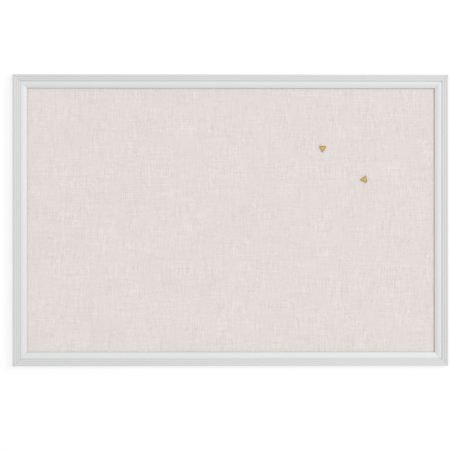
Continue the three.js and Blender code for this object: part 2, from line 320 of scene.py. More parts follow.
def open_up(piece, kind="FACE"):
    """Edit mode on one piece, with all of it selected."""
    pick_up(piece)
    bpy.ops.object.mode_set(mode="EDIT")
    bpy.ops.mesh.select_mode(type=kind)
    take_all()


def middle(item):
    if isinstance(item, bmesh.types.BMVert):
        return item.co
    return sum((corner.co for corner in item.verts), Vector()) / len(item.verts)


def choose(piece, kind, wanted):
    """In edit mode, selects the vertices, edges or faces whose middle is wanted."""
    bpy.ops.mesh.select_mode(type=kind)
    bpy.ops.mesh.select_all(action="DESELECT")
    mesh = bmesh.from_edit_mesh(piece.data)
    items = {"VERT": mesh.verts, "EDGE": mesh.edges, "FACE": mesh.faces}[kind]
    for item in items:
        if wanted(middle(item), item):
            item.select_set(True)
    mesh.select_flush_mode()
    bmesh.update_edit_mesh(piece.data)


def begin(name, add, turn=(0, 0, 0), stretch=(1, 1, 1), **settings):
    """Adds a primitive, and puts its place, turn and stretch into its mesh."""
    put_down()
    add(rotation=turn, **settings)
    piece = bpy.context.object
    piece.name = name
    piece.data.name = name
    piece.scale = stretch
    bpy.ops.object.transform_apply(location=True, rotation=True, scale=True)
    return piece


def extrude(step):
    bpy.ops.mesh.extrude_region_move(TRANSFORM_OT_translate={"value": step})


def apply_all(piece):
    pick_up(piece)
    for modifier in list(piece.modifiers):
        bpy.ops.object.modifier_apply(modifier=modifier.name)


def cut(piece, cutters):
    """Takes the cutters' shape out of a piece."""
    tool = cutters[0]
    pick_up(tool)
    for cutter in cutters:
        cutter.select_set(True)
    if len(cutters) > 1:
        bpy.ops.object.join()
    modifier = piece.modifiers.new("cut", "BOOLEAN")
    modifier.operation = "DIFFERENCE"
    modifier.object = tool
    modifier.solver = "EXACT"
    apply_all(piece)
    bpy.data.objects.remove(tool)


def sort_mesh(piece):
    """Lists a mesh's corners and faces by their place. An extrusion lists them anew each run, and
    a cut made after it would come out a hair different."""
    mesh = piece.data
    places = [tuple(corner.co) for corner in mesh.vertices]
    order = sorted(range(len(places)), key=lambda i: [round(step, PLACE_DIGITS) for step in places[i]])
    rank = {old: new for new, old in enumerate(order)}
    faces = []
    for face in mesh.polygons:
        ring = [rank[i] for i in face.vertices]
        first = ring.index(min(ring))
        faces.append(ring[first:] + ring[:first])
    mesh.clear_geometry()
    mesh.from_pydata([places[i] for i in order], [], sorted(faces))
    mesh.update()


def tidy_mesh(piece):
    """Merges doubles, turns every face outwards and lists them in a steady order."""
    open_up(piece)
    bpy.ops.mesh.remove_doubles(threshold=MERGE_REACH)
    bpy.ops.mesh.normals_make_consistent(inside=False)
    put_down()
    sort_mesh(piece)


def thicken(piece, step):
    """Draws a flat outline out into a solid."""
    open_up(piece)
    extrude(step)
    tidy_mesh(piece)


def smooth(piece, degrees=SMOOTH_ANGLE):
    pick_up(piece)
    bpy.ops.object.shade_smooth_by_angle(angle=math.radians(degrees))


def turn_about(piece, axis, angle, place=(0, 0, 0)):
    """Turns a finished mesh about a line through a place."""
    open_up(piece)
    # With no window the operator turns the other way
    bpy.ops.transform.rotate(value=-angle, orient_axis=axis, center_override=place)
    put_down()


def shift(piece, step):
    open_up(piece)
    bpy.ops.transform.translate(value=step)
    put_down()


def another(piece, name):
    """A copy with a mesh of its own."""
    pick_up(piece)
    bpy.ops.object.duplicate(linked=False)
    copy = bpy.context.object
    copy.name = name
    copy.data.name = name
    return copy


def soften(piece, ease):
    """Rounds a piece's sharp edges a little."""
    bevel = piece.modifiers.new("ease", "BEVEL")
    bevel.width = ease
    bevel.segments = EASE_SEGMENTS
    bevel.limit_method = "ANGLE"
    bevel.angle_limit = math.radians(EASE_ANGLE)
    apply_all(piece)
    smooth(piece)


def coat(piece, material):
    piece.data.materials.clear()
    piece.data.materials.append(material)


def finished(piece, material, node_name, body="board"):
    """Gives a finished piece its material, and puts it in the place of its part of the frame."""
    put_down()
    coat(piece, material)
    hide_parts(node_name)
    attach(piece, body)


def middle_of(part):
    low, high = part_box(part)
    return (low + high) / 2


def quarter_bulge(radius):
    """How far a quarter round stands off its chord."""
    return radius * (1 - math.sqrt(0.5))


def plane_at(y, drop=0):
    """Lays out points in an upright plane that faces the front."""
    return lambda x, z: Vector((x, y, z - drop))


class Pen:
    """Draws an outline by extruding one vertex. Points are (across, up), laid out by a function."""

    def __init__(self, name, lay_out, point):
        self.lay_out = lay_out
        self.point = point
        self.eased = []
        self.piece = begin(
            name, bpy.ops.mesh.primitive_plane_add, size=PEN_SIZE, location=lay_out(*point)
        )
        open_up(self.piece, "VERT")
        bpy.ops.mesh.merge(type="CENTER")

    def line(self, *point):
        extrude(self.lay_out(*point) - self.lay_out(*self.point))
        self.point = point

    def arc(self, point, bulge, steps=ARC_STEPS):
        """An arc whose middle stands off its chord by the bulge, to the left for a positive one."""
        start, end = Vector(self.point), Vector(point)
        chord = end - start
        radius = (chord.length ** 2 / 4 + bulge ** 2) / (2 * abs(bulge))
        left = Vector((-chord.y, chord.x)).normalized() * math.copysign(1, bulge)
        centre = (start + end) / 2 - left * (radius - abs(bulge))
        hub, first, last = (self.lay_out(*spot) for spot in (centre, start, end))
        axis = (first - hub).cross(last - hub).normalized()
        angle = (first - hub).angle(last - hub)
        # The operator counts its angle the other way round
        bpy.ops.mesh.spin(steps=steps, angle=-angle, center=hub, axis=axis)
        self.point = tuple(point)

    def ease(self):
        """Marks the corner under the pen, to be rounded off."""
        self.eased.append(self.lay_out(*self.point))

    def close(self, ease=0):
        """Joins the end to the start, fills the outline and rounds off the marked corners."""
        take_all()
        bpy.ops.mesh.remove_doubles(threshold=CLOSING_REACH)
        bpy.ops.mesh.edge_face_add()
        if self.eased:
            def marked(at, _):
                return any((at - spot).length < MERGE_REACH for spot in self.eased)

            choose(self.piece, "VERT", marked)
            bpy.ops.mesh.bevel(offset=ease, segments=CORNER_SEGMENTS, affect="VERTICES")
        put_down()
        return self.piece


# Finishes

def shade(red, green, blue):
    """A display colour, 0 to 255, made linear by the displays' standard curve."""
    def linear(value):
        value /= 255
        return value / 12.92 if value <= 0.04045 else ((value + 0.055) / 1.055) ** 2.4

    return (linear(red), linear(green), linear(blue), 1)


PAINT_LIGHT = shade(229, 230, 230)
PAINT_DARK = shade(225, 227, 227)
# Painted shade: greyer paint on the reeds, quirk, lip and hollows, and a dark khaki sight edge, where
# shade falls
PAINT_REEDED_SHADE = shade(219, 220, 219)
PAINT_QUIRK_SHADE = shade(215, 216, 215)
PAINT_LIP_SHADE = shade(226, 228, 227)
PAINT_HOLLOW_SHADE = shade(203, 204, 202)
PAINT_SIGHT_SHADE = shade(184, 178, 158)
LINEN_LIGHT = shade(251, 244, 241)
LINEN_DARK = shade(220, 211, 208)
# Painted shade between and beside the linen's threads
LINEN_GAP_SHADE = shade(192, 179, 174)
LINEN_FLECK = shade(223, 219, 202)
GOLD_LIGHT = shade(226, 198, 122)
GOLD_DARK = shade(212, 181, 102)
# Painted shade at the pins' rims
GOLD_RIM_SHADE = shade(176, 148, 76)
RUBBER_LIGHT = shade(226, 224, 219)
RUBBER_DARK = shade(212, 209, 203)
HARDBOARD_LIGHT = shade(168, 130, 92)
HARDBOARD_DARK = shade(98, 70, 46)
HARDBOARD_RED = shade(126, 84, 56)
CORK_LIGHT = shade(206, 164, 112)
CORK_DARK = shade(130, 92, 56)
FELT_LIGHT = shade(192, 166, 130)
FELT_DARK = shade(148, 122, 90)

# Each steel's dark and light colour, and its roughness from its smooth to its rough places
STEELS = {
    "plated_steel": (shade(184, 186, 188), shade(212, 213, 214), (0.28, 0.5)),
    "spring_steel": (shade(140, 143, 148), shade(176, 178, 182), (0.3, 0.55)),
    "needle_steel": (shade(205, 205, 207), shade(222, 222, 223), (0.12, 0.25)),
}

# The Mix node's inputs and output for numbers and for colours
MIX_SOCKETS = {"FLOAT": (2, 3, 0), "RGBA": (6, 7, 2)}


def feed(tree, socket, value):
    """Gives an input its value, or the socket that feeds it."""
    if isinstance(value, bpy.types.NodeSocket):
        tree.links.new(value, socket)
    else:
        socket.default_value = value


def node(tree, kind, inputs=None, **settings):
    """Adds a shader node. Its inputs go by name or by number."""
    made = tree.nodes.new("ShaderNode" + kind)
    for name, value in settings.items():
        setattr(made, name, value)
    for key, value in (inputs or {}).items():
        feed(tree, made.inputs[key], value)
    return made


def maths(tree, operation, *values):
    return node(tree, "Math", dict(enumerate(values)), operation=operation).outputs[0]


def mixed(tree, amount, first, second, kind="RGBA"):
    """A colour between two, or a number between two."""
    first_in, second_in, out = MIX_SOCKETS[kind]
    inputs = {"Factor": amount, first_in: first, second_in: second}
    return node(tree, "Mix", inputs, data_type=kind).outputs[out]


def overlaid(tree, colour, stain, mask, share):
    """A colour with another laid over it where the mask is, at a share of its strength. It lays real
    stains and painted shade alike.
    """
    return mixed(tree, maths(tree, "MULTIPLY", mask, share), colour, stain)


def spread(tree, value, ends):
    """A 0 to 1 value laid between two others."""
    return node(tree, "MapRange", {"Value": value, "To Min": ends[0], "To Max": ends[1]}).outputs[0]


def window(tree, value, ends):
    """0 before the first end, 1 past the second, smooth between them."""
    return node(
        tree, "MapRange", {"Value": value, "From Min": ends[0], "From Max": ends[1]},
        interpolation_type="SMOOTHSTEP",
    ).outputs[0]


def noise(tree, place, size, detail=2, roughness=0.5):
    """Noise whose features have this size in metres, one for all axes or one for each."""
    lengths = size if isinstance(size, tuple) else (size, size, size)
    scale = tuple(1 / length for length in lengths)
    stretched = node(tree, "Mapping", {"Vector": place, "Scale": scale})
    return node(
        tree, "TexNoise",
        {"Vector": stretched.outputs[0], "Scale": 1, "Detail": detail, "Roughness": roughness},
    ).outputs["Fac"]


def bumped(tree, height, relief, under=None):
    """A normal bent by a height, on top of another one if that is given."""
    distance, strength = relief
    inputs = {"Height": height, "Distance": distance, "Strength": strength}
    if under is not None:
        inputs["Normal"] = under
    return node(tree, "Bump", inputs).outputs["Normal"]


def new_material(name):
    """A new material, with its node tree and the piece's own coordinates."""
    material = bpy.data.materials.new(name)
    material.use_nodes = True
    tree = material.node_tree
    return material, tree, node(tree, "TexCoord").outputs["Object"]


def coated(material, **inputs):
    """Sets the shader's inputs, whose names have underscores for spaces."""
    tree = material.node_tree
    for key, value in inputs.items():
        feed(tree, tree.nodes["Principled BSDF"].inputs[key.replace("_", " ")], value)
    return material


FINISHES = {}


def shared(make):
    """One material for every piece that asks for it with the same settings."""
    def again(**settings):
        key = (make.__name__, *sorted(settings.items()))
        if key not in FINISHES:
            FINISHES[key] = make(**settings)
        return FINISHES[key]

    return again


def from_edge(tree, place, extent):
    """How far a place lies in from the nearer of the two edges of the board."""
    return maths(tree, "SUBTRACT", extent / 2, maths(tree, "ABSOLUTE", place))


@shared
def painted_wood(along_x):
    """Satin off-white paint, brushed along the side, with painted shade: greyer in its hollows, on the
    reeds, quirk and lip, and darkest at the sight edge.
    """
    material, tree, place = new_material("painted_rail" if along_x else "painted_stile")
    stroke = (BRUSH_LENGTH, BRUSH_WIDTH, BRUSH_WIDTH)
    strokes = noise(tree, place, stroke if along_x else stroke[::-1], detail=3)
    # Painted shade: greyer paint where the surface is hollow
    hollow_shade = window(tree, node(tree, "NewGeometry").outputs["Pointiness"], PAINT_HOLLOW_SHADE_CURVE)
    axes = node(tree, "SeparateXYZ", {"Vector": place}).outputs
    inward = maths(
        tree, "MINIMUM", from_edge(tree, axes["X"], BOARD_WIDTH), from_edge(tree, axes["Z"], BOARD_HEIGHT)
    )
    front = window(tree, axes["Y"], FRONT_SHADE_Y)
    quirk_end = REEDED_WIDTH + QUIRK_WIDTH + QUIRK_SLOPE / 2
    band_end = MOULDING_WIDTH - LIP_WIDTH
    quirk = maths(
        tree, "MULTIPLY", window(tree, inward, (REEDED_WIDTH - QUIRK_FADE, REEDED_WIDTH)),
        window(tree, inward, (quirk_end, quirk_end - QUIRK_FADE)),
    )
    colour = mixed(tree, noise(tree, place, PAINT_CLOUD), PAINT_LIGHT, PAINT_DARK)
    # Painted shade on the front: greyer reeds, quirk and lip, and a dark khaki sight edge
    for tone, zone in (
        (PAINT_REEDED_SHADE, window(tree, inward, (REEDED_WIDTH + REEDED_FADE, REEDED_WIDTH))),
        (PAINT_QUIRK_SHADE, quirk),
        (PAINT_LIP_SHADE, window(tree, inward, (band_end, band_end + LIP_FADE))),
        (PAINT_SIGHT_SHADE, window(tree, inward, (MOULDING_WIDTH - SIGHT_FADE, MOULDING_WIDTH))),
    ):
        colour = overlaid(tree, colour, tone, zone, front)
    normal = bumped(tree, strokes, BRUSH_RELIEF)
    return coated(
        material, Base_Color=overlaid(tree, colour, PAINT_HOLLOW_SHADE, hollow_shade, PAINT_HOLLOW_SHADE_SHARE),
        Roughness=spread(tree, strokes, PAINT_ROUGHNESS), IOR=PAINT_IOR, Specular_IOR_Level=PAINT_SPECULAR,
        Normal=bumped(tree, noise(tree, place, PAINT_PEEL), PEEL_RELIEF, under=normal),
    )


def threads(tree, across, along, swell, offset, first_wave):
    """Side by side threads: the tone, 0 to 1, and the height of the one at a place. A thread is
    round across, and rises and dips along itself as it passes over and under the crossing ones."""
    steps = maths(tree, "DIVIDE", across, THREAD_PITCH)
    number = maths(tree, "FLOOR", steps)
    spot = node(tree, "CombineXYZ", {
        "X": maths(tree, "MULTIPLY_ADD", number, THREAD_STRIDE, offset),
        "Y": maths(tree, "DIVIDE", along, swell),
    })
    tone = node(
        tree, "TexNoise",
        {"Vector": spot.outputs[0], "Scale": 1, "Detail": 2, "Roughness": THREAD_GRAIN},
    ).outputs["Fac"]
    thickness = spread(tree, tone, THREAD_THICKNESS)
    aside = maths(tree, "ABSOLUTE", maths(tree, "MULTIPLY_ADD", maths(tree, "FRACT", steps), 2, -1))
    fall = maths(tree, "POWER", maths(tree, "DIVIDE", aside, thickness), 2)
    roundness = maths(tree, "SQRT", maths(tree, "MAXIMUM", maths(tree, "SUBTRACT", 1, fall), 0))
    crossings = maths(tree, "ADD", number, maths(tree, "DIVIDE", along, THREAD_PITCH))
    wave = maths(tree, "SINE", maths(tree, "MULTIPLY", crossings, math.pi))
    height = maths(tree, "MULTIPLY_ADD", wave, first_wave * THREAD_DIP, roundness)
    return tone, height


@shared
def woven_linen():
    """Plain-woven linen: pale rose-grey threads that wander, uneven in tone and thickness."""
    material, tree, place = new_material("linen")
    drift = node(tree, "TexNoise", {"Vector": place, "Scale": 1 / WANDER_SIZE, "Detail": 1})
    wandered = node(
        tree, "VectorMath", {0: drift.outputs["Color"], 1: (WANDER_REACH,) * 3, 2: place},
        operation="MULTIPLY_ADD",
    ).outputs[0]
    axes = node(tree, "SeparateXYZ", {"Vector": wandered}).outputs
    warp_tone, warp_height = threads(tree, axes["X"], axes["Z"], WARP_SWELL, 0, -1)
    weft_tone, weft_height = threads(tree, axes["Z"], axes["X"], WEFT_SWELL, WEFT_OFFSET, 1)
    height = maths(tree, "MAXIMUM", weft_height, warp_height)
    on_top = maths(tree, "GREATER_THAN", warp_height, weft_height)
    weft_tone, warp_tone = spread(tree, weft_tone, WEFT_TONES), spread(tree, warp_tone, WARP_TONES)
    tone = mixed(tree, on_top, weft_tone, warp_tone, kind="FLOAT")
    nubs = noise(tree, place, (NUB_WIDTH, NUB_WIDTH, NUB_LENGTH), detail=1)
    tone = maths(tree, "MULTIPLY_ADD", maths(tree, "SUBTRACT", nubs, MIDDLE_TONE), NUB_SHARE, tone)
    clouds = window(tree, noise(tree, place, UNEVEN_CLOUD, detail=1), UNEVEN_TONES)
    unevenness = spread(tree, clouds, UNEVEN_SPREAD)
    tone = maths(tree, "MULTIPLY_ADD", maths(tree, "SUBTRACT", tone, MIDDLE_TONE), unevenness, MIDDLE_TONE)
    dye = window(tree, noise(tree, place, DYE_CLOUD, detail=3), DYE_TONES)
    fibre = (FIBRE_WIDTH, FIBRE_WIDTH, FIBRE_LENGTH)
    level_fibres, upright_fibres = noise(tree, place, fibre[::-1]), noise(tree, place, fibre)
    fibres = mixed(tree, on_top, level_fibres, upright_fibres, kind="FLOAT")
    flecks = noise(tree, place, (FLECK_WIDTH, FLECK_WIDTH, FLECK_LENGTH), detail=1)
    colour = mixed(tree, window(tree, tone, LINEN_TONES), LINEN_DARK, LINEN_LIGHT)
    colour = overlaid(tree, colour, LINEN_DARK, dye, DYE_SHARE)
    colour = overlaid(tree, colour, LINEN_DARK, fibres, FIBRE_SHARE)
    # Painted shade: darker where the threads lie low, between and beside them
    colour = overlaid(tree, colour, LINEN_GAP_SHADE, window(tree, height, GAP_SHADE_HEIGHTS), GAP_SHADE_SHARE)
    colour = overlaid(tree, colour, LINEN_FLECK, window(tree, flecks, FLECK_TONES), FLECK_SHARE)
    normal = bumped(tree, height, WEAVE_RELIEF)
    return coated(
        material, Base_Color=colour, Roughness=spread(tree, fibres, LINEN_ROUGHNESS),
        Normal=bumped(tree, fibres, FIBRE_RELIEF, under=normal), Specular_IOR_Level=LINEN_SPECULAR,
        Sheen_Weight=LINEN_SHEEN, Sheen_Roughness=LINEN_SHEEN_ROUGHNESS,
    )


@shared
def steel(kind):
    """Bare or plated steel with a fine grain and a slightly uneven colour."""
    dark, light, roughness = STEELS[kind]
    material, tree, place = new_material(kind)
    scratches = noise(tree, place, STEEL_GRAIN, detail=3)
    return coated(
        material, Base_Color=mixed(tree, noise(tree, place, METAL_CLOUD), dark, light), Metallic=1,
        Roughness=spread(tree, scratches, roughness), Normal=bumped(tree, scratches, METAL_RELIEF),
    )


@shared
def gold():
    """Gold-tone plating, its colour darkened from the peak towards the rim by painted shade."""
    material, tree, place = new_material("gold_tone_metal")
    scratches = noise(tree, place, GOLD_GRAIN, detail=3)
    forward = node(tree, "SeparateXYZ", {"Vector": place}).outputs["Y"]
    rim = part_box("pin_1_head")[1].y
    # Painted shade: the colour darkens from the peak towards the rim
    clear_of_rim_shade = window(tree, forward, (rim - PIN_EDGE_HEIGHT, rim - PIN_RIM_SHADE_HEIGHT))
    colour = mixed(tree, noise(tree, place, METAL_CLOUD), GOLD_DARK, GOLD_LIGHT)
    return coated(
        material, Base_Color=mixed(tree, clear_of_rim_shade, GOLD_RIM_SHADE, colour), Metallic=1,
        Roughness=spread(tree, scratches, GOLD_ROUGHNESS), Normal=bumped(tree, scratches, METAL_RELIEF),
    )


@shared
def milky_rubber():
    """Milky soft rubber with a faint bloom."""
    material, tree, place = new_material("bumper_rubber")
    bloom = noise(tree, place, RUBBER_BLOOM)
    return coated(
        material, Base_Color=mixed(tree, bloom, RUBBER_DARK, RUBBER_LIGHT),
        Roughness=spread(tree, bloom, RUBBER_ROUGHNESS), Normal=bumped(tree, bloom, RUBBER_RELIEF),
    )


@shared
def hardboard():
    """Pressed brown board: matted fibres, and the press screen's fine mesh on its rear, its pits darkened
    by painted shade.
    """
    material, tree, place = new_material("hardboard")
    fibre = (HARDBOARD_FIBRE, HARDBOARD_CHIP, HARDBOARD_CHIP)
    level, upright = (noise(tree, place, size, detail=5, roughness=0.7) for size in (fibre, fibre[::-1]))
    fibres = maths(tree, "MAXIMUM", level, upright)
    clouds = noise(tree, place, HARDBOARD_PATCH, detail=5, roughness=0.65)
    axes = node(tree, "SeparateXYZ", {"Vector": place}).outputs
    wires = [
        maths(tree, "SINE", maths(tree, "MULTIPLY", axes[axis], FULL_TURN / SCREEN_PITCH))
        for axis in ("X", "Z")
    ]
    screen = maths(tree, "MULTIPLY", *wires)
    colour = mixed(tree, window(tree, fibres, HARDBOARD_TONES), HARDBOARD_DARK, HARDBOARD_LIGHT)
    patches = window(tree, clouds, PATCH_TONES)
    colour = overlaid(tree, colour, HARDBOARD_RED, patches, PATCH_SHARE)
    # Painted shade: darker in the screen's pits
    colour = overlaid(tree, colour, HARDBOARD_DARK, window(tree, screen, SCREEN_PIT_SHADE), SCREEN_PIT_SHADE_SHARE)
    normal = bumped(tree, screen, SCREEN_RELIEF)
    return coated(
        material, Base_Color=colour, Roughness=spread(tree, fibres, HARDBOARD_ROUGHNESS),
        Normal=bumped(tree, fibres, HARDBOARD_RELIEF, under=normal), Specular_IOR_Level=HARDBOARD_SPECULAR,
    )


@shared
def cork():
    """Pressed cork granules, tan to dark brown."""
    material, tree, place = new_material("cork")
    granule = node(tree, "TexVoronoi", {"Vector": place, "Scale": 1 / CORK_GRANULE, "Randomness": 1})
    tone = node(tree, "SeparateColor", {"Color": granule.outputs["Color"]}).outputs[0]
    crumbs = noise(tree, place, CORK_CRUMB, detail=4)
    colour = mixed(tree, tone, CORK_DARK, CORK_LIGHT)
    return coated(
        material, Base_Color=overlaid(tree, colour, CORK_DARK, crumbs, CORK_CRUMB_SHARE),
        Roughness=spread(tree, crumbs, CORK_ROUGHNESS),
        Normal=bumped(tree, granule.outputs["Distance"], CORK_RELIEF),
    )


@shared
def fibreboard():
    """Soft felted board, tan with paler fibres."""
    material, tree, place = new_material("fibreboard")
    fibre = (FELT_FIBRE, FELT_FLAKE, FELT_FIBRE)
    fibres = noise(tree, place, fibre, detail=6, roughness=0.75)
    return coated(
        material, Base_Color=mixed(tree, fibres, FELT_DARK, FELT_LIGHT),
        Roughness=spread(tree, fibres, FELT_ROUGHNESS), Normal=bumped(tree, fibres, FELT_RELIEF),
    )


# Cutters

def shank_hole(place, radius, rear_y, front_y):
    """A cutter along Y for the hole of a round shank, open at the rear."""
    rear_y += OVERRUN
    return begin(
        "hole", bpy.ops.mesh.primitive_cylinder_add, turn=(QUARTER_TURN, 0, 0), vertices=HOLE_SIDES,
        radius=radius + CONTACT_GAP, depth=rear_y - front_y,
        location=(place.x, (rear_y + front_y) / 2, place.z),
    )


def nail_holes():
    """Cutters for the hanger nails' holes, in the top side's own place under its outer edge."""
    drop = Vector((0, 0, BOARD_HEIGHT / 2))
    return [
        shank_hole(middle_of(nail) - drop, NAIL_RADIUS, REAR_Y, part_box(nail)[0].y - CONTACT_GAP)
        for nail in HANGER_NAILS
    ]


def point_slot(place):
    """A cutter for the slot that a framer's point makes in the rebate's wall."""
    width, sheet = POINT_WIDTH + 2 * CONTACT_GAP, POINT_SHEET + 2 * CONTACT_GAP
    middle_y = (POINT_LOW.y + POINT_HIGH.y) / 2
    middle_z = -REAR_WIDTH + (POINT_BITE + CONTACT_GAP - OVERRUN) / 2
    return begin(
        "point_slot", bpy.ops.mesh.primitive_cube_add, size=1,
        stretch=(width, sheet, OVERRUN + POINT_BITE + CONTACT_GAP), location=(place, middle_y, middle_z),
    )


def v_plate(name, margin, depth, front_y):
    """A V of bent sheet, tip at the origin and opening towards +X; a margin makes it a cutter."""
    half = V_NAIL_SHEET / 2 + margin
    reach = V_NAIL_LEG + margin
    along, across = math.cos(V_NAIL_HALF_ANGLE), math.sin(V_NAIL_HALF_ANGLE)
    ends = [
        (reach * along - half * across, reach * across + half * along),
        (reach * along + half * across, reach * across - half * along),
    ]
    tip = half / across
    pen = Pen(name, plane_at(front_y), (-tip, 0))
    for x, z in (*ends, (tip, 0), *[(x, -z) for x, z in reversed(ends)], (-tip, 0)):
        pen.line(x, z)
    plate = pen.close()
    thicken(plate, (0, depth, 0))
    return plate


def v_slots(length):
    """Cutters for the V-nails' slots in both ends of a side."""
    front_y = REAR_Y - V_NAIL_SINK - V_NAIL_HEIGHT - CONTACT_GAP
    slots = []
    for side, turn in ((-1, -3 * EIGHTH_TURN), (1, -EIGHTH_TURN)):
        for inset in V_NAIL_INSETS:
            slot = v_plate("v_slot", CONTACT_GAP, REAR_Y + OVERRUN - front_y, front_y)
            turn_about(slot, "Y", turn)
            shift(slot, (side * (length / 2 - inset), 0, -inset))
            slots.append(slot)
    return slots


# Frame sides

def draw_moulding(name, length):
    """The moulding's outline at the left end of a side along X, outer edge up and front to -Y."""
    def lay_out(inward, height):
        return Vector((-length / 2, REAR_Y - height, -inward))

    pen = Pen(name, lay_out, (0, 0))
    height = MOULDING_DEPTH - EDGE_DROP
    pen.line(0, height - EDGE_ROUND)
    pen.arc((EDGE_ROUND, height), quarter_bulge(EDGE_ROUND))
    inward = EDGE_LAND
    pen.line(inward, height)
    for bead in range(BEAD_COUNT):
        inward += BEAD_WIDTH
        pen.arc((inward, height), BEAD_RISE)
        if bead < BEAD_COUNT - 1:
            inward += BEAD_GAP
            height += BEAD_STEP
            pen.arc((inward, height), -BEAD_HOLLOW, steps=BEAD_HOLLOW_STEPS)
    quirk_height = MOULDING_DEPTH - QUIRK_DROP
    pen.line(inward, quirk_height)
    inward += QUIRK_WIDTH
    pen.arc((inward, quirk_height), -QUIRK_HOLLOW, steps=QUIRK_STEPS)
    inward += QUIRK_SLOPE
    band_height = MOULDING_DEPTH - BAND_DROP
    pen.line(inward, band_height)
    pen.ease()
    band_end = MOULDING_WIDTH - LIP_WIDTH
    pen.arc((band_end, band_height), BAND_DROP, steps=BAND_STEPS)
    lip_height = band_height - LIP_STEP_DROP
    pen.line(band_end + LIP_STEP_WIDTH, lip_height)
    lip_edge = lip_height - LIP_FALL
    pen.arc((MOULDING_WIDTH, lip_edge), LIP_BULGE)
    pen.ease()
    pen.line(MOULDING_WIDTH, lip_edge - SIGHT_WALL)
    pen.ease()
    pen.line(REAR_WIDTH, lip_edge - SIGHT_WALL)
    pen.line(REAR_WIDTH, 0)
    pen.ease()
    pen.line(0, 0)
    pen.ease()
    return pen.close(CORNER_EASE)


def mitre(piece, side, length):
    """Cuts one end of a side at 45 degrees and eases the cut's edges."""
    open_up(piece)
    corner = (side * (length / 2 - MITRE_GAP / math.sqrt(2)), 0, 0)
    normal = Vector((side, 0, -1)).normalized()
    bpy.ops.mesh.bisect(plane_co=corner, plane_no=normal, use_fill=True, clear_outer=True)
    choose(piece, "FACE", lambda _, face: face.normal.dot(normal) > FACING)
    bpy.ops.mesh.region_to_loop()
    bpy.ops.mesh.bevel(offset=MITRE_EASE, segments=EASE_SEGMENTS, affect="EDGES", clamp_overlap=True)
    put_down()


def point_places(opening, count):
    """Even places of the framer's points along a side."""
    return [((i + 0.5) / count - 0.5) * opening for i in range(count)]


def frame_side(name, part, length, turn, place, points, extra_cuts):
    """One side: its moulding, mitred and slotted along X, then turned into its place."""
    side = draw_moulding(name, length)
    thicken(side, (length, 0, 0))
    for end in (-1, 1):
        mitre(side, end, length)
    cut(side, [*v_slots(length), *[point_slot(spot) for spot in points], *extra_cuts])
    turn_about(side, "Y", turn)
    shift(side, place)
    smooth(side)
    finished(side, painted_wood(along_x=abs(place[2]) > 0), part)


# Sheet metal

def framers_point():
    """A flat tongue with its tip towards +Z, driven into the rebate's wall above it."""
    half = POINT_WIDTH / 2
    tail, shoulder = POINT_BITE - POINT_LENGTH, POINT_BITE - POINT_TIP
    pen = Pen("framers_point", plane_at(POINT_LOW.y, REAR_WIDTH), (-half, tail))
    pen.ease()
    pen.line(-half, shoulder)
    pen.line(0, POINT_BITE)
    pen.line(half, shoulder)
    pen.line(half, tail)
    pen.ease()
    pen.line(-half, tail)
    point = pen.close(POINT_EASE)
    thicken(point, (0, POINT_SHEET, 0))
    soften(point, SHEET_EASE)
    return point


def frame_points():
    """The framer's points of all four sides, copied from one."""
    pattern = framers_point()
    for name, part, _, turn, place, opening, count in SIDES:
        for i, spot in enumerate(point_places(opening, count), 1):
            point = another(pattern, f"{name}_framers_point_{i}")
            shift(point, (spot, 0, 0))
            turn_about(point, "Y", turn)
            shift(point, place)
            finished(point, steel(kind="spring_steel"), f"{part}_point_{i}")
    bpy.data.objects.remove(pattern)


def v_nails():
    """The V-nails of all four corners, copied from one."""
    pattern = v_plate("v_nail", 0, V_NAIL_HEIGHT, REAR_Y - V_NAIL_SINK - V_NAIL_HEIGHT)
    soften(pattern, SHEET_EASE)
    for corner, across, up, turn in CORNERS:
        for i, inset in enumerate(V_NAIL_INSETS, 1):
            nail = another(pattern, f"{corner}_v_nail_{i}")
            turn_about(nail, "Y", turn)
            shift(nail, (across * (BOARD_WIDTH / 2 - inset), 0, up * (BOARD_HEIGHT / 2 - inset)))
            finished(nail, steel(kind="spring_steel"), f"v_nail_{corner}_{i}")
    bpy.data.objects.remove(pattern)


def draw_hanger(half, raised):
    """The hanger's outline from behind, with teeth that climb towards the middle."""
    round_end = HANGER_HEIGHT / 2
    bulge = quarter_bulge(round_end)
    pen = Pen("hanger", plane_at(REAR_Y + CONTACT_GAP), (half - round_end, round_end))
    pen.arc((half, 0), bulge)
    pen.arc((half - round_end, -round_end), bulge)
    pitch = 2 * raised / TOOTH_COUNT
    for tooth in range(TOOTH_COUNT):
        start = raised - tooth * pitch
        centred = 1 - abs(2 * tooth + 1 - TOOTH_COUNT) / TOOTH_COUNT
        climb = TOOTH_PEAK * centred - round_end
        pen.line(start, climb)
        pen.line(start - pitch / 2, climb + TOOTH_DEPTH)
        pen.line(start - pitch, climb)
    pen.line(round_end - half, -round_end)
    pen.arc((-half, 0), bulge)
    pen.arc((round_end - half, round_end), bulge)
    pen.line(half - round_end, round_end)
    return pen.close()


def sawtooth_hanger():
    """A strip bent off the wood between two nailed tabs, made at the middle of the board."""
    half = HANGER_LENGTH / 2
    bend = half - HANGER_TAB
    raised = bend - HANGER_RAMP
    hanger = draw_hanger(half, raised)
    open_up(hanger)
    for x in (-bend, -raised, raised, bend):
        take_all()
        bpy.ops.mesh.bisect(plane_co=(x, 0, 0), plane_no=(1, 0, 0))
    take_all()
    extrude((0, HANGER_SHEET, 0))
    choose(hanger, "VERT", lambda at, _: abs(at.x) < raised + NEAR)
    bpy.ops.transform.translate(value=(0, HANGER_RAISE, 0))
    tidy_mesh(hanger)
    seat = (HANGER_LENGTH - HANGER_HEIGHT) / 2
    cut(hanger, [
        shank_hole(Vector((x, 0, 0)), NAIL_RADIUS, REAR_Y + HANGER_RAISE, REAR_Y - OVERRUN)
        for x in (-seat, seat)
    ])
    soften(hanger, SHEET_EASE)
    return hanger


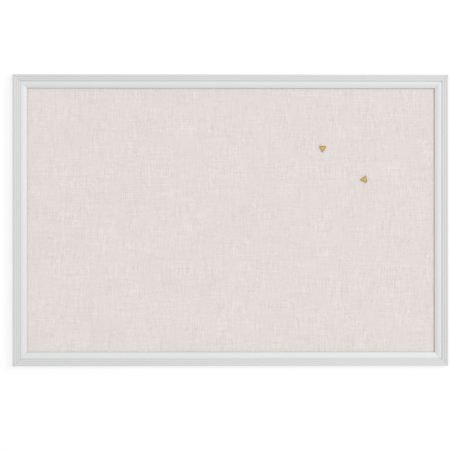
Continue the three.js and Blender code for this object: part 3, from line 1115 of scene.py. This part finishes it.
def hangers():
    pattern = sawtooth_hanger()
    for part in ("hanger_1", "hanger_2"):
        hanger = another(pattern, part.replace("hanger", "sawtooth_hanger"))
        shift(hanger, (middle_of(part).x, 0, RAIL_HIGH.z - REAR_WIDTH / 2))
        finished(hanger, steel(kind="plated_steel"), part)
    bpy.data.objects.remove(pattern)


# Turned pieces

def turned(name, place, profile):
    """A piece turned about a line along Y; the profile's points are (radius, y) or, at an arc's
    end, (radius, y, bulge)."""
    def lay_out(radius, y):
        return Vector((place.x + radius, y, place.z))

    pen = Pen(name, lay_out, profile[0])
    for radius, y, *bulge in profile[1:]:
        if bulge:
            pen.arc((radius, y), *bulge, steps=TURNED_ARC_STEPS)
        else:
            pen.line(radius, y)
    take_all()
    bpy.ops.mesh.spin(steps=TURNED_STEPS, angle=FULL_TURN, center=place, axis=(0, 1, 0))
    tidy_mesh(pen.piece)
    smooth(pen.piece)
    return pen.piece


def hanger_nail(part):
    low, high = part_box(part)
    seat = high.y - NAIL_HEAD_HEIGHT
    nail = turned(part.replace("nail", "pin_nail"), middle_of(part), [
        (0, low.y),
        (NAIL_RADIUS, low.y + NAIL_TIP),
        (NAIL_RADIUS, seat),
        (NAIL_HEAD_RADIUS, seat),
        (NAIL_HEAD_RADIUS, seat + NAIL_HEAD_RIM),
        (0, high.y, NAIL_HEAD_DOME),
    ])
    finished(nail, steel(kind="plated_steel"), part)


def bumper(part):
    low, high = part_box(part)
    radius = (high.x - low.x) / 2
    foot = turned(f"rubber_{part}", middle_of(part), [
        (0, low.y),
        (radius - BUMPER_FOOT_EASE, low.y),
        (radius, low.y + BUMPER_FOOT_EASE),
        (radius, high.y - BUMPER_ROUND),
        (radius - BUMPER_ROUND, high.y, quarter_bulge(BUMPER_ROUND)),
        (0, high.y),
    ])
    finished(foot, milky_rubber(), part)


def pin_needle(name):
    part = f"{name}_needle"
    low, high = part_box(part)
    needle = turned(f"{name}_steel_needle", middle_of(part), [
        (0, low.y),
        (NEEDLE_RADIUS, low.y),
        (NEEDLE_RADIUS, high.y - NEEDLE_TIP),
        (0, high.y),
    ])
    finished(needle, steel(kind="needle_steel"), part, body=name)


# Pin heads

def draw_pin_head(name, place):
    """The rear outline of a three-cornered head, one rounded corner up."""
    def lay_out(x, z):
        return place + Vector((x, 0, z))

    def ray(angle, length):
        return Vector((math.cos(angle), math.sin(angle))) * length

    half_corner = math.pi / PIN_CORNERS
    # A third of a turn apart, each rounding's hub lies two radii in from its corner
    reach = PIN_SIDE / math.sqrt(3) - 2 * PIN_CORNER_RADIUS
    roundings = []
    for corner in range(PIN_CORNERS):
        heading = QUARTER_TURN - 2 * corner * half_corner
        hub = ray(heading, reach)
        turns = (heading + half_corner, heading - half_corner)
        roundings.append([hub + ray(turn, PIN_CORNER_RADIUS) for turn in turns])
    pen = Pen(name, lay_out, roundings[-1][1])
    for start, end in roundings:
        pen.line(*start)
        pen.arc(end, PIN_CORNER_RADIUS * (1 - math.cos(half_corner)), steps=PIN_CORNER_STEPS)
    return pen.close()


def pin_head(name):
    """A low three-sided pyramid with rounded corners and softened edges, seated on its needle."""
    part = f"{name}_head"
    rear_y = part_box(part)[1].y
    needle_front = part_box(f"{name}_needle")[0].y
    place = middle_of(f"{name}_needle")
    head = draw_pin_head(f"{name}_gold_head", Vector((place.x, rear_y, place.z)))
    open_up(head)
    extrude((0, -PIN_EDGE_HEIGHT, 0))
    breadth, climbed = 1, 0
    for next_breadth, next_climbed in PIN_PEAK_SHARES:
        extrude((0, (climbed - next_climbed) * (PIN_HEAD_HEIGHT - PIN_EDGE_HEIGHT), 0))
        share = next_breadth / breadth
        bpy.ops.transform.resize(value=(share, 1, share), center_override=place)
        breadth, climbed = next_breadth, next_climbed
    rims = (rear_y, rear_y - PIN_EDGE_HEIGHT)
    choose(head, "EDGE", lambda at, _: min(abs(at.y - rim) for rim in rims) < NEAR)
    bpy.ops.mesh.bevel(offset=PIN_EASE, segments=PIN_EASE_SEGMENTS, affect="EDGES")
    tidy_mesh(head)
    cut(head, [shank_hole(place, NEEDLE_RADIUS, rear_y, needle_front - CONTACT_GAP)])
    turn_about(head, "Y", PIN_TURNS[name], (place.x, 0, place.z))
    smooth(head, PIN_SMOOTH_ANGLE)
    finished(head, gold(), part, body=name)


# Linen

def weave_slubs(cloth):
    """Raises the thicker threads, upright and level ones."""
    gauges = []
    for name, size in (
        ("upright_slubs", (SLUB_WIDTH, 1, SLUB_LENGTH)),
        ("level_slubs", (SLUB_LENGTH, 1, SLUB_WIDTH)),
    ):
        texture = bpy.data.textures.new(name, "CLOUDS")
        texture.noise_scale = 1
        texture.noise_depth = 0
        gauge = bpy.data.objects.new(name, None)
        bpy.context.scene.collection.objects.link(gauge)
        gauge.scale = size
        gauges.append(gauge)
        relief = cloth.modifiers.new(name, "DISPLACE")
        relief.texture = texture
        relief.texture_coords = "OBJECT"
        relief.texture_coords_object = gauge
        relief.direction = "Y"
        relief.strength = SLUB_RISE
    bpy.context.view_layer.update()
    apply_all(cloth)
    for gauge in gauges:
        bpy.data.objects.remove(gauge)


def fold_edge(cloth, half_width, half_height):
    """Folds the cloth's open edge over the panel, hems it on the rear and closes its inner side."""
    front, rear = LINEN_LOW.y, LINEN_HIGH.y
    angles = [math.radians(angle) for angle in FOLD_ANGLES]
    bend = [(LINEN_BEND * (1 - math.sin(angle)), LINEN_BEND * (1 - math.cos(angle))) for angle in angles]
    path = [(inward, front + back) for inward, back in bend[1:]]
    path += [(back, rear - inward) for inward, back in bend]
    path += [
        (LINEN_HEM, rear),
        (LINEN_HEM, rear - LINEN_SHEET),
        (LINEN_SHEET, rear - LINEN_SHEET),
        (LINEN_SHEET, front + LINEN_SHEET),
    ]
    open_up(cloth, "EDGE")
    bpy.ops.mesh.region_to_loop()
    inset = LINEN_BEND
    for next_inset, y in path:
        bpy.ops.mesh.extrude_region_move()
        across = (half_width - next_inset) / (half_width - inset)
        up = (half_height - next_inset) / (half_height - inset)
        bpy.ops.transform.resize(value=(across, 0, up), center_override=(0, y, 0))
        inset = next_inset
    bpy.ops.mesh.edge_face_add()
    tidy_mesh(cloth)


def linen_cloth():
    """The cloth that faces the panel, pierced by the pins' needles."""
    width, height = LINEN_HIGH.x - LINEN_LOW.x, LINEN_HIGH.z - LINEN_LOW.z
    face_width, face_height = width - 2 * LINEN_BEND, height - 2 * LINEN_BEND
    cloth = begin(
        "linen_cloth", bpy.ops.mesh.primitive_grid_add, size=1, location=(0, LINEN_LOW.y, 0),
        turn=(QUARTER_TURN, 0, 0), stretch=(face_width, face_height, 1),
        x_subdivisions=round(face_width / LINEN_CELL), y_subdivisions=round(face_height / LINEN_CELL),
    )
    weave_slubs(cloth)
    fold_edge(cloth, width / 2, height / 2)
    cut(cloth, [
        shank_hole(middle_of(f"{pin}_needle"), NEEDLE_RADIUS, LINEN_HIGH.y, LINEN_LOW.y - OVERRUN)
        for pin in PIN_TURNS
    ])
    smooth(cloth, LINEN_SMOOTH_ANGLE)
    finished(cloth, woven_linen(), "linen_cover")


# Stage

@shared
def backdrop(glow):
    """White to the camera, with the board's soft shadow. Clear from behind."""
    material = bpy.data.materials.new("backdrop")
    material.use_nodes = True
    tree = material.node_tree
    tree.nodes.clear()
    seen = node(tree, "LightPath").outputs["Is Camera Ray"]
    shine = node(tree, "Emission", {"Strength": maths(tree, "MULTIPLY", seen, glow)})
    matt = node(tree, "BsdfDiffuse", {"Color": BACKDROP_COLOUR})
    both = node(tree, "AddShader", {0: shine.outputs[0], 1: matt.outputs[0]})
    clear = node(tree, "BsdfTransparent")
    side = node(tree, "MixShader", {
        0: node(tree, "NewGeometry").outputs["Backfacing"], 1: both.outputs[0], 2: clear.outputs[0],
    })
    node(tree, "OutputMaterial", {"Surface": side.outputs[0]})
    return material


def backdrop_plane(name, turn, location, glow):
    """A wall or floor that only the camera sees, so that it keeps no light off the board."""
    plane = begin(name, bpy.ops.mesh.primitive_plane_add, turn=turn, size=STAGE_SIZE, location=location)
    coat(plane, backdrop(glow=glow))
    plane.visible_diffuse = plane.visible_glossy = False
    plane.visible_transmission = plane.visible_shadow = False
    return plane


def soft_lamp(name, place, size, power, only=None):
    """A wide soft lamp aimed at the board; it lights everything, or only the one object given."""
    put_down()
    bpy.ops.object.light_add(type="AREA", location=place)
    lamp = bpy.context.object
    lamp.name = name
    lamp.data.shape = "RECTANGLE"
    lamp.data.size, lamp.data.size_y = size
    lamp.data.energy = power
    lamp.rotation_euler = (-Vector(place)).to_track_quat("-Z", "Y").to_euler()
    lamp.visible_camera = False
    if only:
        lit = bpy.data.collections.new(name)
        lit.objects.link(only)
        lamp.light_linking.receiver_collection = lit


def surroundings():
    """An even pale room, white where the camera or a shiny surface looks into it."""
    world = bpy.data.worlds.new("room")
    bpy.context.scene.world = world
    world.use_nodes = True
    tree = world.node_tree
    rays = node(tree, "LightPath").outputs
    seen = maths(tree, "MAXIMUM", rays["Is Camera Ray"], rays["Is Glossy Ray"])
    seen = maths(tree, "MAXIMUM", seen, rays["Is Transmission Ray"])
    room = tree.nodes["Background"].inputs
    feed(tree, room["Color"], ROOM_COLOUR)
    feed(tree, room["Strength"], spread(tree, seen, (ROOM_LIGHT, 1)))


def camera():
    """A long lens a little to the left of the board, as the photograph's sides and edges ask."""
    turn = math.radians(CAMERA_TURN)
    back = Vector((-math.sin(turn), -math.cos(turn), 0))
    put_down()
    bpy.ops.object.camera_add(location=CAMERA_AIM + back * CAMERA_DISTANCE)
    eye = bpy.context.object
    eye.rotation_euler = (-back).to_track_quat("-Z", "Y").to_euler()
    eye.data.sensor_width = SENSOR_WIDTH
    eye.data.lens = SENSOR_WIDTH * CAMERA_DISTANCE / PICTURE_WIDTH
    eye.data.clip_start, eye.data.clip_end = CAMERA_REACH
    bpy.context.scene.camera = eye


# Making

# Each side's name, part, length, turn, place, opening and number of framer's points
SIDES = [
    ("top_rail", "rail_top", BOARD_WIDTH, 0, (0, 0, BOARD_HEIGHT / 2), OPENING_WIDTH, 4),
    ("bottom_rail", "rail_bottom", BOARD_WIDTH, HALF_TURN, (0, 0, -BOARD_HEIGHT / 2), OPENING_WIDTH, 4),
    ("left_stile", "stile_left", BOARD_HEIGHT, -QUARTER_TURN, (-BOARD_WIDTH / 2, 0, 0), OPENING_HEIGHT, 3),
    ("right_stile", "stile_right", BOARD_HEIGHT, QUARTER_TURN, (BOARD_WIDTH / 2, 0, 0), OPENING_HEIGHT, 3),
]
# Each corner's name, its way across and up, and the turn of its V-nails
CORNERS = [
    ("top_right", 1, 1, -EIGHTH_TURN),
    ("top_left", -1, 1, -3 * EIGHTH_TURN),
    ("bottom_left", -1, -1, 3 * EIGHTH_TURN),
    ("bottom_right", 1, -1, EIGHTH_TURN),
]

for name, part, length, turn, place, opening, count in SIDES:
    holes = nail_holes() if name == "top_rail" else []
    frame_side(name, part, length, turn, place, point_places(opening, count), holes)
frame_points()
v_nails()
hangers()
for nail in HANGER_NAILS:
    hanger_nail(nail)
for foot in ("bumper_left", "bumper_right"):
    bumper(foot)
linen_cloth()
for pin in PIN_TURNS:
    pin_head(pin)
    pin_needle(pin)
coat(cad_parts["cork_sheet"], cork())
coat(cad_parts["fibreboard_core"], fibreboard())
coat(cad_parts["back_panel"], hardboard())

wall = backdrop_plane("wall", (QUARTER_TURN, 0, 0), (0, WALL_GAP, 0), WALL_GLOW)
backdrop_plane("floor", (0, 0, 0), (0, 0, FLOOR_Z), FLOOR_GLOW)
surroundings()
soft_lamp("key_lamp", *KEY_LAMP)
soft_lamp("wall_lamp", *WALL_LAMP, only=wall)
soft_lamp("rear_lamp", *REAR_LAMP)
camera()
bpy.context.scene.view_settings.view_transform = "Standard"

put_down()
